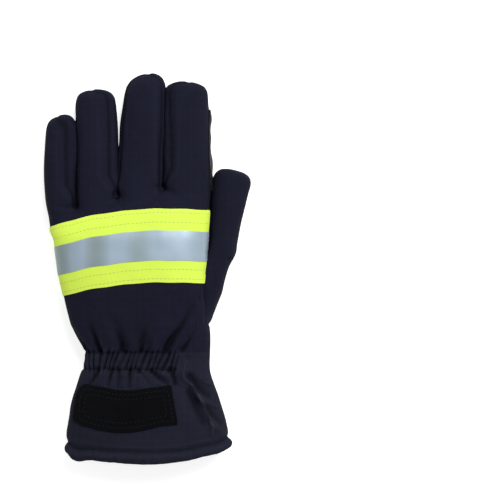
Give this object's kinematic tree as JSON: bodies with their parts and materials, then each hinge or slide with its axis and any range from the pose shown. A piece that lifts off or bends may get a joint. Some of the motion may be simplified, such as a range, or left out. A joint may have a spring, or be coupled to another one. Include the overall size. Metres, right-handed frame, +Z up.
{
  "type": "firefighter glove",
  "caption": "Padded firefighter glove for the left hand, lying palm down, with hi-vis tape on the back, a gathered wrist, an open flared cuff and a hook-and-loop patch.",
  "frame": {"origin": "on the surface the glove lies on, under the middle of its bounding box", "axes": "+Z up from the surface, +Y from the cuff's mouth towards the fingertips, +X towards the thumb"},
  "size_m": [0.152, 0.2898, 0.0463],
  "materials": {
    "shell_cloth": "matt woven aramid cloth",
    "cuff_cloth": "matt woven aramid cloth",
    "palm_leather": "matt black leather",
    "hi_vis": "fluorescent woven tape",
    "reflective": "silver retroreflective film",
    "loop_tape": "black loop pile"
  },
  "bodies": {
    "root": {"little_back": "shell_cloth", "ring_back": "shell_cloth", "middle_back": "shell_cloth", "index_back": "shell_cloth", "back_panel": "shell_cloth", "palm_panel": "palm_leather", "thumb": "shell_cloth", "little_ring_fourchette": "shell_cloth", "ring_middle_fourchette": "shell_cloth", "middle_index_fourchette": "shell_cloth", "index_patch": "palm_leather", "hi_vis_tape": "hi_vis", "silver_stripe": "reflective", "wrist_band": "cuff_cloth", "cuff": "cuff_cloth", "loop_patch": "loop_tape", "cuff_hem": "cuff_cloth"}
  },
  "joints": []
}
